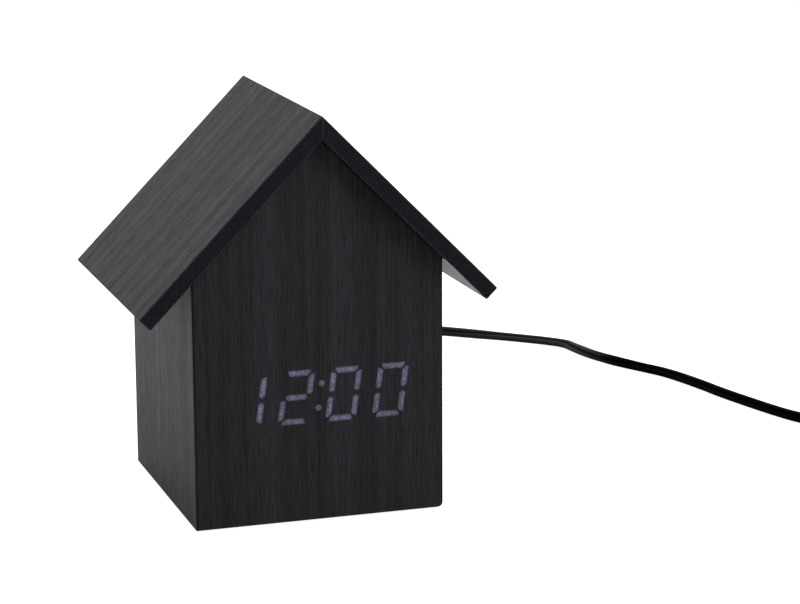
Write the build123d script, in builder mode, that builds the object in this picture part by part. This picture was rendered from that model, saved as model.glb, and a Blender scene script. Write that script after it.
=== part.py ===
from build123d import *
import os
from math import cos, hypot, pi, radians, sin, sqrt, tan

# A table clock in the shape of a small house. Its digits shine through the front's wood-grain sheet.
# Millimetres. The origin is on the table under the middle of the body, the front faces -Y and +Z is up.

os.makedirs("parts", exist_ok=True)

# House: body, roof and feet. The body is as wide as its display needs
body_depth = 97.3
wall_height = 94.2
wall_thickness = 6.0
veneer_thickness = 0.6
roof_pitch = 45.4
board_thickness = 5.9
left_board_length = 96.6
right_board_length = 93.9
front_overhang = 7.2
back_overhang = 5.3
board_easing = 0.4
ridge_easing = 0.25
corner_easing = 0.3
heel_radius = 1.8
foot_diameter = 8.0
foot_height = 0.8
foot_inset = 8.0

# Display: the digits and the block, board and light sources behind them
display_rise = 46.8
digit_rise = 17.9
digit_width = 9.6
stroke_width = 2.3
stroke_gap = 0.6
stroke_corner = 1.2
stroke_tip = 0.4
digit_slant = 8.0
digit_gap = 3.08
colon_gap = 0.1
dot_diameter = 2.5
dot_rise = 4.5
shown_strokes = ("bc", "abged", "abcdef", "abcdef")
display_side_gap = 2.15
display_side_lap = 3.0
display_end_lap = 5.5
window_fit = 0.2
reflector_margin = 1.5
fill_depth = 4.5
circuit_board_thickness = 1.6
led_length = 1.6
led_width = 0.8
led_height = 0.7
display_screw_share = 0.75
chip_length = 10.0
chip_width = 5.4
chip_height = 1.5
chip_place_shares = (-0.42, 0.0)
capacitor_diameter = 5.0
capacitor_height = 7.0
capacitor_place_shares = ((0.42, 0.25), (0.58, 0.25))
connector_width = 12.0
connector_height = 5.0
connector_depth = 5.6

# Service panel in the back: battery bay, buttons and power socket. It is as large as these need
service_rise = 44.0
service_corner = 4.0
service_thickness = 1.5
service_lap = 5.5
service_gap = 0.8
bay_side_gap = 2.25
socket_room = 16.2
opening_corner = 3.0
bay_wall = 1.5
cell_diameter = 10.5
cell_length = 44.5
cell_nub_diameter = 3.8
cell_nub_length = 0.8
cell_gap = 0.5
cell_clearance = 0.5
cell_easing = 0.5
spring_length = 4.6
spring_wide = 6.0
spring_narrow = 3.4
contact_size = 7.0
contact_thickness = 0.4
cover_ledge = 1.2
cover_fit = 0.2
cover_skirt_depth = 3.0
cover_skirt_thickness = 0.8
cover_skirt_width = 30.0
cover_grip_count = 4
cover_grip_width = 16.0
cover_grip_height = 0.6
cover_grip_pitch = 1.6
cover_grip_share = 0.72

# Buttons, switches and control board
control_board_height = 18.1
button_diameter = 6.0
button_fit = 0.2
button_rise = 1.2
button_flange_diameter = 8.4
button_flange_thickness = 1.0
button_play = 0.1
button_easing = 0.4
button_shares = (0.16, 0.44, 0.72)
switch_size = 6.0
switch_height = 3.5
plunger_diameter = 3.5
plunger_fit = 0.2
plunger_rise = 1.5
plunger_depth = 1.0
plunger_room = 0.8
boss_diameter = 4.4
boss_side_inset = 3.0
boss_end_inset = 2.6
buzzer_diameter = 10.0
buzzer_height = 6.0
buzzer_hole_diameter = 1.6
control_chip_width = 6.0
control_chip_height = 8.0
control_chip_thickness = 1.4
control_gap_share = 0.294
crystal_diameter = 2.0
crystal_length = 6.0
crystal_share = 0.69
microphone_diameter = 4.6
microphone_height = 4.4
microphone_share = 0.91
sound_hole_diameter = 1.4

# Power socket and the plug in it
socket_size = 9.0
socket_depth = 11.0
socket_wall = 1.2
socket_fit = 0.1
pocket_depth = 4.0
barrel_diameter = 3.5
barrel_bore = 1.5
barrel_length = 9.5
barrel_hollow = 7.0
barrel_fit = 0.05
bore_spare = 0.7
pin_diameter = 1.3
pin_length = 7.4
barrel_hole_fit = 0.4
plug_diameter = 9.0
plug_length = 15.0
plug_easing = 0.8
plug_groove_count = 4
plug_groove_width = 0.8
plug_groove_depth = 0.35
plug_groove_pitch = 2.0
relief_length = 13.0
relief_base_diameter = 6.6
relief_tip_diameter = 5.2

# Fasteners
screw_diameter = 2.2
screw_head_diameter = 4.4
screw_head_height = 1.5
screw_length = 7.0
small_screw_diameter = 1.8
small_screw_head_diameter = 3.6
small_screw_head_height = 1.2
small_screw_length = 5.0
screw_fit = 0.05
screw_clearance = 0.2
recess_share = 0.62
recess_slot_share = 0.16
recess_depth_share = 0.5

# Wires inside the house
ribbon_width = 10.0
ribbon_thickness = 0.9
ribbon_bend = 6.0
ribbon_share_points = ((0.16, 0.0), (0.38, -0.75), (0.62, 0.35), (0.86, 1.0))
wire_diameter = 1.2
wire_gap = 3.0
wire_loop = 6.0
wire_bend = 2.0
wire_inset = 1.2
wire_fit = 0.1

# Power cord: where its middle runs, with its height above the table, then its put-away coil
cord_width = 4.5
cord_lead = 19.0
cord_route = (
    (23.0, 118.0, 50.0),
    (28.0, 130.0, 30.0),
    (37.0, 146.0, 11.0),
    (50.0, 167.0, 2.3),
    (70.0, 194.0, 2.3),
    (98.0, 215.0, 2.3),
    (124.0, 222.0, 2.3),
    (162.0, 192.0, 2.3),
    (183.0, 168.0, 2.3),
    (185.5, 142.0, 2.3),
    (203.0, 107.0, 2.3),
    (210.5, 76.0, 2.3),
    (215.5, 46.0, 2.5),
)
coil_entry_route = ((229.0, 9.0), (246.0, -3.0))
cord_corner_share = 0.45
coil_outer_radius = 30.0
coil_pitch = 5.0
coil_half_turns_in = 5
coil_half_turns_out = 4
coil_samples = 24
tail_route = (
    (13.0, 0.0, 0.0),
    (25.0, -3.0, -1.3),
    (35.0, -9.5, -3.2),
    (42.0, -18.5, -4.15),
    (46.0, -29.0, -4.15),
)

# Tie round the coil, and the plug on the cord's far end
tie_width = 5.0
tie_thickness = 0.6
tie_side_fit = 0.8
tie_top_fit = 0.1
tie_corner = 1.5
tie_floor_gap = 0.1
usb_width = 15.4
usb_thickness = 7.6
usb_length = 21.0
usb_corner = 1.6
usb_easing = 0.6
usb_neck_length = 7.0
usb_neck_diameter = 5.6
usb_shell_width = 12.0
usb_shell_thickness = 4.5
usb_shell_length = 14.0
usb_shell_wall = 0.3
usb_tongue_thickness = 1.9
usb_tongue_inset = 1.0
usb_window = 2.2
usb_window_share = 0.22
usb_window_rise_share = 0.5

# Heights and depths that follow from the sizes
base_z = foot_height
slant = tan(radians(digit_slant))
digit_outer_width = digit_width + stroke_width + slant * (digit_rise + stroke_width)
digit_pitch = digit_outer_width + digit_gap
reflector_width = 3 * digit_pitch + colon_gap + digit_outer_width + 2 * reflector_margin
window_width = reflector_width + 2 * window_fit
display_board_width = window_width + 2 * display_side_lap
inner_half = display_board_width / 2 + display_side_gap
half_width = inner_half + wall_thickness
front_y = -body_depth / 2
back_y = body_depth / 2
panel_front_y = front_y + veneer_thickness
panel_back_y = panel_front_y + wall_thickness
back_inner_y = back_y - wall_thickness
inner_depth = back_inner_y - panel_back_y
inner_middle_y = (back_inner_y + panel_back_y) / 2
eave_z = base_z + wall_height
apex_z = eave_z + half_width * tan(radians(roof_pitch))
ridge_z = apex_z + board_thickness / cos(radians(roof_pitch))
roof_front_y = front_y - front_overhang
roof_back_y = back_y + back_overhang
slope_x, slope_z = sin(radians(roof_pitch)), cos(radians(roof_pitch))
left_slope = Plane(origin=(0, 0, apex_z), x_dir=(0, 1, 0), z_dir=(-slope_x, 0, slope_z))
right_slope = Plane(origin=(0, 0, apex_z), x_dir=(0, 1, 0), z_dir=(slope_x, 0, slope_z))

# The display block fills a window in the front, and its board lies on the front's inner face
display_z = base_z + display_rise
reflector_height = digit_rise + stroke_width + 2 * reflector_margin
window_height = reflector_height + 2 * window_fit
display_board_height = window_height + 2 * display_end_lap
display_back_y = panel_back_y + circuit_board_thickness
display_screw_x = display_screw_share * display_board_width / 2
display_screw_z = (window_height + display_end_lap) / 2
digit_centres = [
    side * (digit_pitch * steps + colon_gap / 2)
    for side, steps in ((-1, 1.5), (-1, 0.5), (1, 0.5), (1, 1.5))
]
dot_centres = [(side * dot_rise * slant, display_z + side * dot_rise) for side in (1, -1)]

# The service panel covers an opening in the back: the battery bay is below, the control board above it
service_z = base_z + service_rise
plate_outer_y = back_y + service_thickness
bay_length = cell_length + spring_length + contact_thickness
bay_height = 3 * cell_diameter + 2 * cell_gap + 2 * cell_clearance
opening_width = bay_length + 2 * bay_wall + 2 * bay_side_gap
opening_height = bay_height + 2 * bay_wall + control_board_height + 3 * service_gap
service_width = opening_width + 2 * service_lap
service_height = opening_height + 2 * service_lap
bay_depth = cell_diameter + 2 * cell_clearance
bay_z = service_z - opening_height / 2 + service_gap + bay_wall + bay_height / 2
bay_floor_y = back_y - bay_depth
bay_back_y = bay_floor_y - bay_wall
cell_y = bay_floor_y + cell_clearance + cell_diameter / 2
cell_step = cell_diameter + cell_gap
control_z = service_z + opening_height / 2 - service_gap - control_board_height / 2
control_board_width = opening_width - service_gap - socket_room
control_left = -opening_width / 2 + service_gap
control_right = control_left + control_board_width
control_x = (control_left + control_right) / 2
flange_back_y = back_y - button_play - button_flange_thickness
switch_back_y = flange_back_y - plunger_rise
control_front_y = switch_back_y - switch_height
control_back_y = control_front_y - circuit_board_thickness
control_row_spare = (
    control_board_width - wire_inset - wire_diameter / 2
    - buzzer_diameter - control_chip_width - connector_width
)
buzzer_x = control_left + control_gap_share * control_row_spare + buzzer_diameter / 2
control_chip_x = (
    buzzer_x + (buzzer_diameter + control_chip_width) / 2 + control_gap_share * control_row_spare
)
ribbon_x = (
    control_chip_x + (control_chip_width + connector_width) / 2 + control_gap_share * control_row_spare
)
boss_x = control_board_width / 2 - boss_side_inset
boss_z = control_board_height / 2 - boss_end_inset
lead_y = cell_y - contact_size / 2 + wire_inset
lead_end_x = control_board_width / 2 - wire_inset
socket_x = (control_right + opening_width / 2) / 2
socket_back_y = back_y - socket_depth
bore_depth = barrel_length - service_thickness + bore_spare
plug_back_y = plate_outer_y + plug_length
relief_back_y = plug_back_y + relief_length

# The coil lies on its tie. It winds inwards, climbs once and winds outwards again on top
coil_low_z = tie_floor_gap + tie_thickness + cord_width / 2
cord_points = [
    (socket_x, relief_back_y, control_z), (socket_x, relief_back_y + cord_lead, control_z),
    *cord_route, *[(x, y, coil_low_z) for x, y in coil_entry_route],
]
coil_plane = Plane(
    origin=cord_points[-1], x_dir=Vector(*cord_points[-1]) - Vector(*cord_points[-2]), z_dir=(0, 0, 1)
)
half_turn_radii = [
    *[coil_outer_radius - turn * coil_pitch / 2 for turn in range(coil_half_turns_in + 1)],
    *[
        coil_outer_radius + (turn + 1 - coil_half_turns_in) * coil_pitch / 2
        for turn in range(coil_half_turns_out)
    ],
]


def at_depth(y):
    """The upright plane at this depth. It faces the front, with its own x along X and its y along Z."""
    return Plane.XZ.offset(-y)


def along_board(share):
    """The place on the control board this far along its width."""
    return control_left + share * control_board_width


def wall(plan):
    """Raises a wall from its outline in plan, and cuts its top along the undersides of the roof."""
    with BuildSketch(Plane.XY.offset(base_z)) as outline:
        with BuildLine():
            Polyline(*plan, close=True)
        make_face()
    extrude(outline.sketch, amount=ridge_z - base_z)
    split(bisect_by=left_slope, keep=Keep.BOTTOM)
    split(bisect_by=right_slope, keep=Keep.BOTTOM)


def round_heel():
    """Rounds the lower right-hand corner, where the wrapping sheet goes round the foot of the wall."""
    with BuildSketch(at_depth(front_y)) as waste:
        with Locations((half_width, base_z)):
            Rectangle(heel_radius, heel_radius, align=(Align.MAX, Align.MIN))
        with Locations((half_width - heel_radius, base_z + heel_radius)):
            Circle(heel_radius, mode=Mode.SUBTRACT)
    extrude(waste.sketch, amount=-body_depth, mode=Mode.SUBTRACT)


def box_at(x, y, z, width, depth, height, mode=Mode.ADD):
    """A box with its middle at x and z. It goes back from y by its depth, or forward if that is negative."""
    with BuildSketch(at_depth(y)) as outline:
        with Locations((x, z)):
            Rectangle(width, height)
    extrude(outline.sketch, amount=-depth, mode=mode)


def disc_at(places, y, radius, depth, mode=Mode.ADD):
    """Round pieces at these places. They go back from y by their depth, or forward if that is negative."""
    with BuildSketch(at_depth(y)) as outline:
        with Locations(*places):
            Circle(radius)
    extrude(outline.sketch, amount=-depth, mode=mode)


def corners(x, z, across, along):
    """The four places this far to either side of a middle."""
    return [(x + i * across, z + j * along) for i in (-1, 1) for j in (-1, 1)]


def screws(places, seat_y, way, diameter, head_diameter, head_height, length):
    """Screws whose heads sit at seat_y and whose shanks go back, way 1, or forward, way -1."""
    disc_at(places, seat_y, diameter / 2, way * length)
    disc_at(places, seat_y, head_diameter / 2, -way * head_height)
    with BuildSketch(at_depth(seat_y - way * head_height)) as recess:
        with Locations(*places):
            Rectangle(recess_share * head_diameter, recess_slot_share * head_diameter)
            Rectangle(recess_slot_share * head_diameter, recess_share * head_diameter)
    extrude(recess.sketch, amount=-way * recess_depth_share * head_height, mode=Mode.SUBTRACT)


def ring_profile(x, z, points):
    """Turns an outline, given as radius and depth along Y, about the level line through x and z."""
    with BuildSketch(Plane.XY.offset(z)) as outline:
        with BuildLine():
            Polyline(*[(x + radius, y) for radius, y in points], close=True)
        make_face()
    revolve(outline.sketch, axis=Axis((x, 0, z), (0, 1, 0)))


# Body
with BuildPart() as front_panel:
    wall([
        (-half_width, panel_front_y), (half_width, panel_front_y),
        (inner_half, panel_back_y), (-inner_half, panel_back_y),
    ])
    round_heel()
    box_at(0, panel_front_y, display_z, window_width, wall_thickness, window_height, mode=Mode.SUBTRACT)
    disc_at(
        corners(0, display_z, display_screw_x, display_screw_z), panel_back_y,
        small_screw_diameter / 2 + screw_fit, circuit_board_thickness - small_screw_length,
        mode=Mode.SUBTRACT,
    )

with BuildPart() as left_side_panel:
    wall([
        (-half_width, panel_front_y), (-inner_half, panel_back_y),
        (-inner_half, back_inner_y), (-half_width, back_y),
    ])

with BuildPart() as right_side_panel:
    wall([
        (half_width, panel_front_y), (inner_half, panel_back_y),
        (inner_half, back_inner_y), (half_width, back_y),
    ])
    round_heel()

with BuildPart() as back_panel:
    wall([
        (-half_width, back_y), (half_width, back_y),
        (inner_half, back_inner_y), (-inner_half, back_inner_y),
    ])
    round_heel()
    with BuildSketch(at_depth(back_y)):
        with Locations((0, service_z)):
            RectangleRounded(opening_width, opening_height, opening_corner)
    extrude(amount=wall_thickness, mode=Mode.SUBTRACT)
    panel_screw_places = corners(
        0, service_z, (service_width - service_lap) / 2, (service_height - service_lap) / 2
    )
    disc_at(
        panel_screw_places, plate_outer_y, screw_diameter / 2 + screw_fit,
        -screw_length, mode=Mode.SUBTRACT,
    )

with BuildPart() as bottom_panel:
    with BuildSketch(Plane.XY.offset(base_z)):
        with Locations((0, inner_middle_y)):
            Rectangle(2 * inner_half, inner_depth)
    extrude(amount=wall_thickness)

with BuildPart() as rubber_feet:
    with BuildSketch(Plane.XY.offset(base_z)):
        with Locations((0, inner_middle_y)):
            with GridLocations(2 * (inner_half - foot_inset), inner_depth - 2 * foot_inset, 2, 2):
                Circle(foot_diameter / 2)
    extrude(amount=-foot_height)


# Roof: two boards with square eaves, mitred where they meet at the ridge
def roof_board(slope, length, side):
    """One board on its slope. It runs down from the ridge to the left, side -1, or to the right, side 1."""
    mitre_run = board_thickness * tan(radians(roof_pitch))
    with BuildSketch(slope) as outline:
        with Locations(((roof_front_y + roof_back_y) / 2, side * (mitre_run - length / 2))):
            Rectangle(roof_back_y - roof_front_y, length)
    extrude(outline.sketch, amount=board_thickness)
    split(bisect_by=Plane(origin=(0, 0, 0), x_dir=(0, 1, 0), z_dir=(side, 0, 0)), keep=Keep.TOP)


def ease_board(board, side):
    """Takes the sharpness off a board's edges, and a little off the ridge."""
    mitre = board.faces().sort_by(Axis.X)[0 if side > 0 else -1]
    chamfer(board.edges() - mitre.edges(), board_easing)
    mitre = board.faces().sort_by(Axis.X)[0 if side > 0 else -1]
    chamfer(mitre.edges().filter_by(Axis.Y).sort_by(Axis.Z)[-1], ridge_easing)


with BuildPart() as left_roof_board:
    roof_board(left_slope, left_board_length, -1)
    ease_board(left_roof_board, -1)

with BuildPart() as right_roof_board:
    roof_board(right_slope, right_board_length, 1)
    ease_board(right_roof_board, 1)


# Display: the corner points of each stroke, about the digit's centre and before the slant
def mirrored(outline, across, along):
    """The outline turned over in one direction or both."""
    return [(across * x, along * z) for x, z in outline]


column, row = digit_width / 2, digit_rise / 2
half_stroke, end_gap = stroke_width / 2, stroke_gap / sqrt(2)
outer_end, inner_end = column + half_stroke - end_gap, column - half_stroke - end_gap
top_stroke = [
    (-outer_end + stroke_corner, row + half_stroke), (outer_end - stroke_corner, row + half_stroke),
    (outer_end - stroke_corner, row + half_stroke - stroke_corner), (inner_end, row - half_stroke),
    (-inner_end, row - half_stroke), (-outer_end + stroke_corner, row + half_stroke - stroke_corner),
]
top_end = row + half_stroke - end_gap - stroke_corner
upper_stroke = [
    (column + half_stroke - stroke_corner, top_end), (column + half_stroke, top_end),
    (column + half_stroke, half_stroke + end_gap), (column + stroke_tip, end_gap + stroke_tip),
    (column - stroke_tip, end_gap + stroke_tip), (column - half_stroke, half_stroke + end_gap),
    (column - half_stroke, row - half_stroke - end_gap),
]
middle_end = column - end_gap - stroke_tip
middle_stroke = [
    (-middle_end, -stroke_tip), (-middle_end, stroke_tip), (-inner_end, half_stroke),
    (inner_end, half_stroke), (middle_end, stroke_tip), (middle_end, -stroke_tip),
    (inner_end, -half_stroke), (-inner_end, -half_stroke),
]
strokes = {
    "a": top_stroke, "b": upper_stroke, "c": mirrored(upper_stroke, 1, -1), "d": mirrored(top_stroke, 1, -1),
    "e": mirrored(upper_stroke, -1, -1), "f": mirrored(upper_stroke, -1, 1), "g": middle_stroke,
}
level_centres = [(0, row), (0, 0), (0, -row)]
upright_centres = [(side * column, end * row / 2) for side in (-1, 1) for end in (-1, 1)]


def on_front(centre, x, z):
    """A point of a digit, slanted and set in its place on the front."""
    return centre + x + z * slant, display_z + z


def stroke_sketch(y, lit):
    """The outlines of the strokes that are lit, with the two dots, or of those that stay dark."""
    with BuildSketch(at_depth(y)) as outlines:
        for centre, shown in zip(digit_centres, shown_strokes):
            for name, outline in strokes.items():
                if (name in shown) == lit:
                    with BuildLine():
                        Polyline(*[on_front(centre, x, z) for x, z in outline], close=True)
                    make_face()
        if lit:
            with Locations(*dot_centres):
                Circle(dot_diameter / 2)
    return outlines.sketch


with BuildPart() as front_veneer:
    wall([
        (-half_width, front_y), (half_width, front_y),
        (half_width, panel_front_y), (-half_width, panel_front_y),
    ])
    round_heel()
    chamfer(front_veneer.faces().sort_by(Axis.Y)[0].edges(), corner_easing)
    extrude(stroke_sketch(front_y, True), amount=-veneer_thickness, mode=Mode.SUBTRACT)

with BuildPart() as display_reflector:
    with BuildSketch(at_depth(panel_front_y)):
        with Locations((0, display_z)):
            Rectangle(reflector_width, reflector_height)
    extrude(amount=-wall_thickness)
    for lit in (True, False):
        extrude(stroke_sketch(panel_front_y, lit), amount=-wall_thickness, mode=Mode.SUBTRACT)

with BuildPart() as lit_segments:
    extrude(stroke_sketch(front_y, True), amount=-veneer_thickness - fill_depth)

with BuildPart() as unlit_segments:
    extrude(stroke_sketch(panel_front_y, False), amount=-fill_depth)

with BuildPart() as display_board:
    box_at(0, panel_back_y, display_z, display_board_width, circuit_board_thickness, display_board_height)
    disc_at(
        corners(0, display_z, display_screw_x, display_screw_z), panel_back_y,
        small_screw_diameter / 2 + screw_clearance, circuit_board_thickness, mode=Mode.SUBTRACT,
    )

with BuildPart() as display_leds:
    with BuildSketch(at_depth(panel_back_y)):
        for centre in digit_centres:
            with Locations(*[on_front(centre, x, z) for x, z in level_centres]):
                Rectangle(led_length, led_width)
            with Locations(*[on_front(centre, x, z) for x, z in upright_centres]):
                Rectangle(led_width, led_length)
        with Locations(*dot_centres):
            Rectangle(led_length, led_width)
    extrude(amount=led_height)

with BuildPart() as display_screws:
    screws(
        corners(0, display_z, display_screw_x, display_screw_z), display_back_y, -1,
        small_screw_diameter, small_screw_head_diameter, small_screw_head_height, small_screw_length,
    )

with BuildPart() as driver_chip:
    box_at(
        chip_place_shares[0] * display_board_width / 2, display_back_y,
        display_z + chip_place_shares[1] * display_board_height / 2, chip_length, chip_height, chip_width,
    )

with BuildPart() as capacitors:
    disc_at(
        [(across * display_board_width / 2, display_z + along * display_board_height / 2)
         for across, along in capacitor_place_shares],
        display_back_y, capacitor_diameter / 2, capacitor_height,
    )

with BuildPart() as display_connector:
    box_at(ribbon_x, display_back_y, display_z, connector_width, connector_depth, connector_height)

with BuildPart() as control_connector:
    box_at(ribbon_x, control_back_y, control_z, connector_width, -connector_depth, connector_height)

with BuildPart() as ribbon_cable:
    ribbon_start_y = display_back_y + connector_depth
    ribbon_run = control_back_y - connector_depth - ribbon_start_y
    ribbon_rise = control_z - display_z
    ribbon_points = [
        (ribbon_start_y, display_z),
        *[
            (ribbon_start_y + run * ribbon_run, display_z + rise * ribbon_rise)
            for run, rise in ribbon_share_points
        ],
        (ribbon_start_y + ribbon_run, control_z),
    ]
    with BuildLine(Plane.YZ.offset(ribbon_x)):
        ribbon_line = FilletPolyline(*ribbon_points, radius=ribbon_bend)
    with BuildSketch(Plane(origin=ribbon_line @ 0, x_dir=(1, 0, 0), z_dir=ribbon_line % 0)):
        Rectangle(ribbon_width, ribbon_thickness)
    sweep()

# Service panel, battery bay and cells
with BuildPart() as service_panel:
    with BuildSketch(at_depth(back_y)):
        with Locations((0, service_z)):
            RectangleRounded(service_width, service_height, service_corner)
    extrude(amount=-service_thickness)
    box_at(0, back_y, bay_z, bay_length + 2 * bay_wall, bay_back_y - back_y, bay_height + 2 * bay_wall)
    box_at(
        0, back_y, bay_z, bay_length + 2 * (cover_ledge + cover_fit), service_thickness,
        bay_height + 2 * (cover_ledge + cover_fit), mode=Mode.SUBTRACT,
    )
    box_at(0, back_y, bay_z, bay_length, -bay_depth, bay_height, mode=Mode.SUBTRACT)
    for side in (-1, 1):
        with BuildSketch(Plane.YZ.offset(side * bay_length / 2)) as lead_hole:
            with Locations((lead_y, bay_z + side * cell_step)):
                Circle(wire_diameter / 2 + wire_fit)
        extrude(lead_hole.sketch, amount=side * bay_wall, mode=Mode.SUBTRACT)
    control_boss_places = corners(control_x, control_z, boss_x, boss_z)
    disc_at(control_boss_places, back_y, boss_diameter / 2, control_front_y - back_y)
    disc_at(
        control_boss_places, control_back_y, small_screw_diameter / 2 + screw_fit, small_screw_length,
        mode=Mode.SUBTRACT,
    )
    box_at(
        socket_x, back_y, control_z, socket_size + 2 * (socket_wall + socket_fit), -pocket_depth,
        socket_size + 2 * (socket_wall + socket_fit),
    )
    box_at(
        socket_x, back_y, control_z, socket_size + 2 * socket_fit, -pocket_depth,
        socket_size + 2 * socket_fit, mode=Mode.SUBTRACT,
    )
    disc_at(
        [(socket_x, control_z)], back_y, barrel_diameter / 2 + barrel_hole_fit, service_thickness,
        mode=Mode.SUBTRACT,
    )
    disc_at(
        [(along_board(share), control_z) for share in button_shares], back_y,
        button_diameter / 2 + button_fit, service_thickness, mode=Mode.SUBTRACT,
    )
    disc_at(
        [(along_board(microphone_share), control_z)], back_y, sound_hole_diameter / 2, service_thickness,
        mode=Mode.SUBTRACT,
    )
    disc_at(
        panel_screw_places, back_y, screw_diameter / 2 + screw_clearance, service_thickness,
        mode=Mode.SUBTRACT,
    )

with BuildPart() as panel_screws:
    screws(
        panel_screw_places, plate_outer_y, -1,
        screw_diameter, screw_head_diameter, screw_head_height, screw_length,
    )

with BuildPart() as battery_cover:
    box_at(0, back_y, bay_z, bay_length + 2 * cover_ledge, service_thickness, bay_height + 2 * cover_ledge)
    for side in (-1, 1):
        box_at(
            0, back_y, bay_z + side * (bay_height / 2 - cover_fit - cover_skirt_thickness / 2),
            cover_skirt_width, -cover_skirt_depth, cover_skirt_thickness,
        )
    for step in range(cover_grip_count):
        box_at(
            0, plate_outer_y, bay_z + cover_grip_share * bay_height / 2 - step * cover_grip_pitch,
            cover_grip_width, cover_grip_height, cover_grip_height,
        )


def cell(place, way):
    """One cell of the row, with its positive end to the right, way 1, or to the left, way -1."""
    z = bay_z + place * cell_step
    positive_x = way * (bay_length / 2 - contact_thickness)
    shoulder_x = positive_x - way * cell_nub_length
    with BuildSketch(Plane.YZ.offset(shoulder_x)) as can:
        with Locations((cell_y, z)):
            Circle(cell_diameter / 2)
    extrude(can.sketch, amount=-way * (cell_length - cell_nub_length))
    fillet(edges().filter_by(GeomType.CIRCLE), cell_easing)
    with BuildSketch(Plane.YZ.offset(shoulder_x)) as nub:
        with Locations((cell_y, z)):
            Circle(cell_nub_diameter / 2)
    extrude(nub.sketch, amount=way * cell_nub_length)


cell_ways = (1, -1, 1)
with BuildPart() as aaa_cell_1:
    cell(-1, cell_ways[0])

with BuildPart() as aaa_cell_2:
    cell(0, cell_ways[1])

with BuildPart() as aaa_cell_3:
    cell(1, cell_ways[2])


def contact_plate(place, end):
    """The square metal plate at one end of a cell, on the bay's end wall, end -1 or 1."""
    z = bay_z + place * cell_step
    with BuildSketch(Plane.YZ.offset(end * bay_length / 2)) as plate:
        with Locations((cell_y, z)):
            Rectangle(contact_size, contact_size)
    extrude(plate.sketch, amount=-end * contact_thickness)
    return z


with BuildPart() as spring_contacts:
    for place, way in zip((-1, 0, 1), cell_ways):
        z = contact_plate(place, -way)
        with BuildSketch(Plane.YZ.offset(-way * (bay_length / 2 - contact_thickness))):
            with Locations((cell_y, z)):
                Circle(spring_wide / 2)
        with BuildSketch(Plane.YZ.offset(-way * (bay_length / 2 - spring_length))):
            with Locations((cell_y, z)):
                Circle(spring_narrow / 2)
        loft()

with BuildPart() as flat_contacts:
    for place, way in zip((-1, 0, 1), cell_ways):
        contact_plate(place, way)

# Control board and what it carries
with BuildPart() as control_board:
    box_at(
        control_x, control_back_y, control_z,
        control_board_width, circuit_board_thickness, control_board_height,
    )
    disc_at(
        control_boss_places, control_back_y, small_screw_diameter / 2 + screw_clearance,
        circuit_board_thickness, mode=Mode.SUBTRACT,
    )

with BuildPart() as control_screws:
    screws(
        control_boss_places, control_back_y, 1,
        small_screw_diameter, small_screw_head_diameter, small_screw_head_height, small_screw_length,
    )

with BuildPart() as control_chip:
    box_at(
        control_chip_x, control_back_y, control_z,
        control_chip_width, -control_chip_thickness, control_chip_height,
    )

with BuildPart() as buzzer:
    disc_at([(buzzer_x, control_z)], control_back_y, buzzer_diameter / 2, -buzzer_height)
    disc_at(
        [(buzzer_x, control_z)], control_back_y - buzzer_height, buzzer_hole_diameter / 2,
        buzzer_height / 2, mode=Mode.SUBTRACT,
    )

with BuildPart() as microphone:
    disc_at(
        [(along_board(microphone_share), control_z)], control_front_y,
        microphone_diameter / 2, microphone_height,
    )

with BuildPart() as clock_crystal:
    with BuildSketch(Plane.YZ.offset(along_board(crystal_share) - crystal_length / 2)):
        with Locations((control_back_y - crystal_diameter / 2, control_z - boss_z)):
            Circle(crystal_diameter / 2)
    extrude(amount=crystal_length)

with BuildPart() as tact_switches:
    for share in button_shares:
        box_at(along_board(share), control_front_y, control_z, switch_size, switch_height, switch_size)
    disc_at(
        [(along_board(share), control_z) for share in button_shares],
        switch_back_y, plunger_diameter / 2 + plunger_fit, -plunger_depth - plunger_room, mode=Mode.SUBTRACT,
    )


def plunger(share):
    """The switch's own plunger. It touches the button's flange and goes down into the switch."""
    disc_at(
        [(along_board(share), control_z)], switch_back_y - plunger_depth,
        plunger_diameter / 2, plunger_depth + plunger_rise,
    )


def button(share):
    """A round push button, held behind the panel by its flange."""
    place = [(along_board(share), control_z)]
    disc_at(place, flange_back_y, button_flange_diameter / 2, button_flange_thickness)
    disc_at(
        place, flange_back_y + button_flange_thickness, button_diameter / 2,
        button_play + service_thickness + button_rise,
    )
    fillet(edges().sort_by(Axis.Y)[-1], button_easing)


with BuildPart() as set_plunger:
    plunger(button_shares[0])

with BuildPart() as up_plunger:
    plunger(button_shares[1])

with BuildPart() as down_plunger:
    plunger(button_shares[2])

with BuildPart() as set_button:
    button(button_shares[0])

with BuildPart() as up_button:
    button(button_shares[1])

with BuildPart() as down_button:
    button(button_shares[2])

# Power socket, plug and the wires between the boards
with BuildPart() as power_socket:
    box_at(socket_x, back_y, control_z, socket_size, -socket_depth, socket_size)
    disc_at(
        [(socket_x, control_z)], back_y, barrel_diameter / 2 + barrel_fit, -bore_depth, mode=Mode.SUBTRACT
    )

with BuildPart() as socket_pin:
    disc_at([(socket_x, control_z)], back_y - bore_depth, pin_diameter / 2, pin_length)

with BuildPart() as dc_plug_barrel:
    disc_at([(socket_x, control_z)], plate_outer_y, barrel_diameter / 2, -barrel_length)
    disc_at(
        [(socket_x, control_z)], plate_outer_y - barrel_length, barrel_bore / 2, barrel_hollow,
        mode=Mode.SUBTRACT,
    )

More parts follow.
